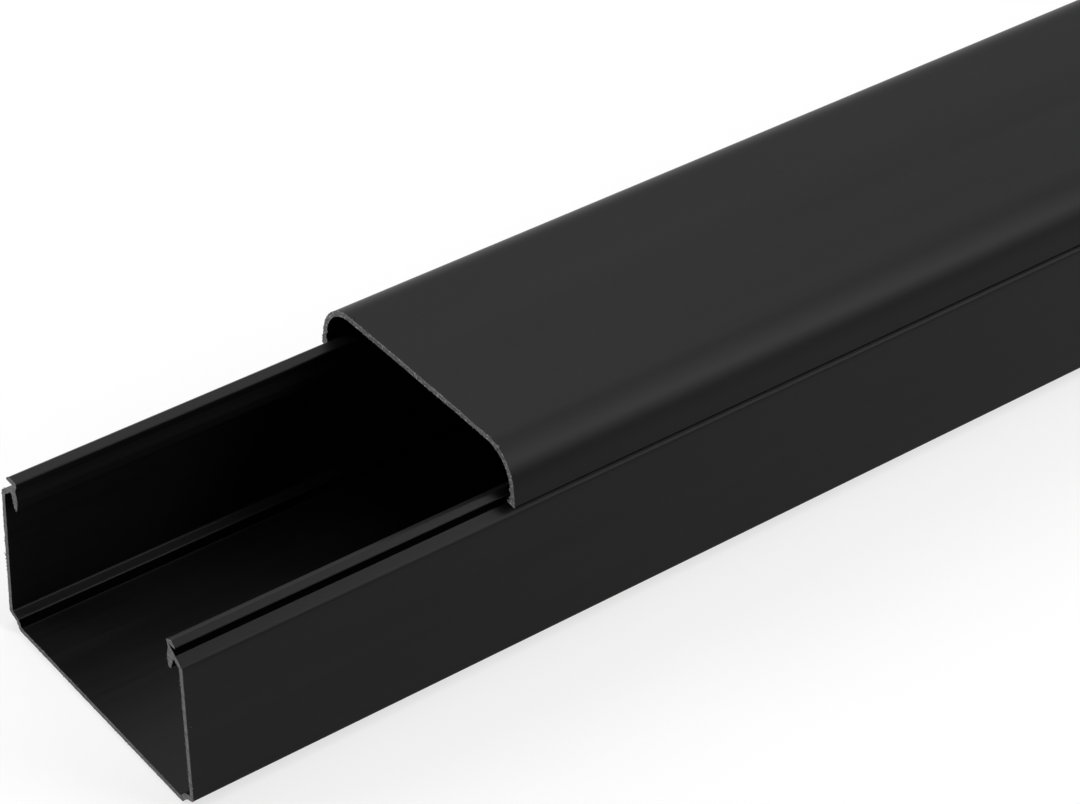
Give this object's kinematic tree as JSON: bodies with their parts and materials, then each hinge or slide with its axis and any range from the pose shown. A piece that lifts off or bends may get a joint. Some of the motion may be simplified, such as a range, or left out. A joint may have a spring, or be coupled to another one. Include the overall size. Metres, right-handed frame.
{
  "type": "air conditioner line cover",
  "caption": "Trunking for air conditioner pipes: a channel base with a barbed rail along each edge, and a rounded cover that hooks under the rails and slides along them.",
  "frame": {"origin": "centre of the base's flat back face, halfway along the base", "axes": "+X along the length, towards the end that the cover overhangs; +Y across; +Z away from the wall, from the base to the cover"},
  "size_m": [2.09, 0.08, 0.0595],
  "materials": {
    "base_plastic": "satin, extruded, near black",
    "cover_plastic": "satin, extruded, near black"
  },
  "bodies": {
    "base": {"channel_base": "base_plastic"},
    "cover": {"snap_cover": "cover_plastic"}
  },
  "joints": [
    {"name": "cover_slide", "type": "slide", "parent": "base", "child": "cover", "axis": [1, 0, 0], "range_m": [-0.09, 0.91]}
  ]
}
